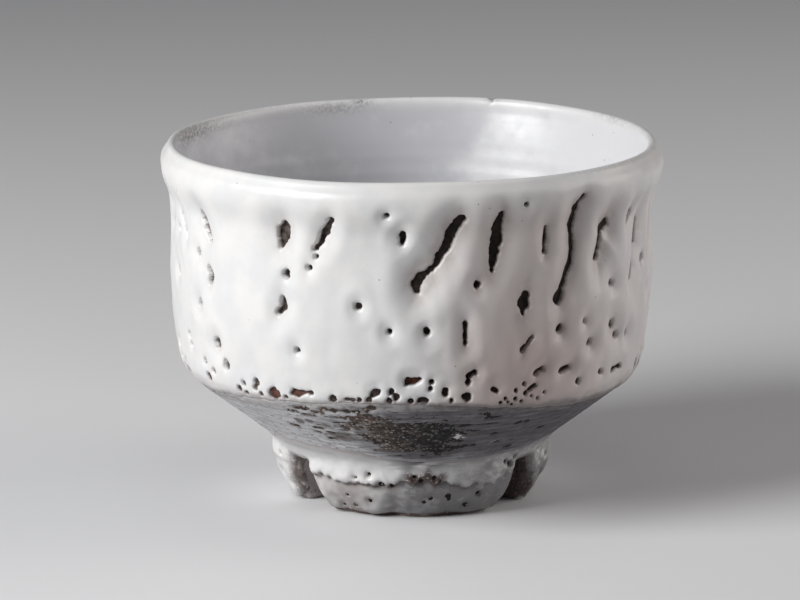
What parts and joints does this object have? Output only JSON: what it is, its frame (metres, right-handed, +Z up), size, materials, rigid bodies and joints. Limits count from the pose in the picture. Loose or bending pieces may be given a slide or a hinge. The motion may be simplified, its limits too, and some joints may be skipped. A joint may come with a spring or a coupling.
{
  "type": "tea bowl",
  "caption": "Straight-sided ceramic tea bowl with a rolled lip, thick white crawled glaze over dark clay, a bare waist and a notched foot ring.",
  "frame": {"origin": "centre of the ring that the bowl stands on, at floor level", "axes": "+Z up along the bowl's axis; -Y is the side shown in the picture; +X is its right"},
  "size_m": [0.125, 0.125, 0.09],
  "materials": {
    "dark_clay": "rough, gritty, unglazed",
    "foot_clay": "rough, gritty, unglazed",
    "white_glaze": "satin gloss, crawled",
    "inner_white_glaze": "satin gloss",
    "grey_wash": "thin, dry, streaked",
    "foot_glaze_front_white": "satin gloss, pinholed",
    "foot_glaze_left_white": "satin gloss, pinholed",
    "foot_glaze_right_white": "satin gloss, pinholed"
  },
  "bodies": {
    "root": {"clay_body": "dark_clay", "foot_ring": "foot_clay", "outer_glaze": "white_glaze", "inner_glaze": "inner_white_glaze", "waist_wash": "grey_wash", "foot_glaze_front": "foot_glaze_front_white", "foot_glaze_left": "foot_glaze_left_white", "foot_glaze_right": "foot_glaze_right_white"}
  },
  "joints": []
}
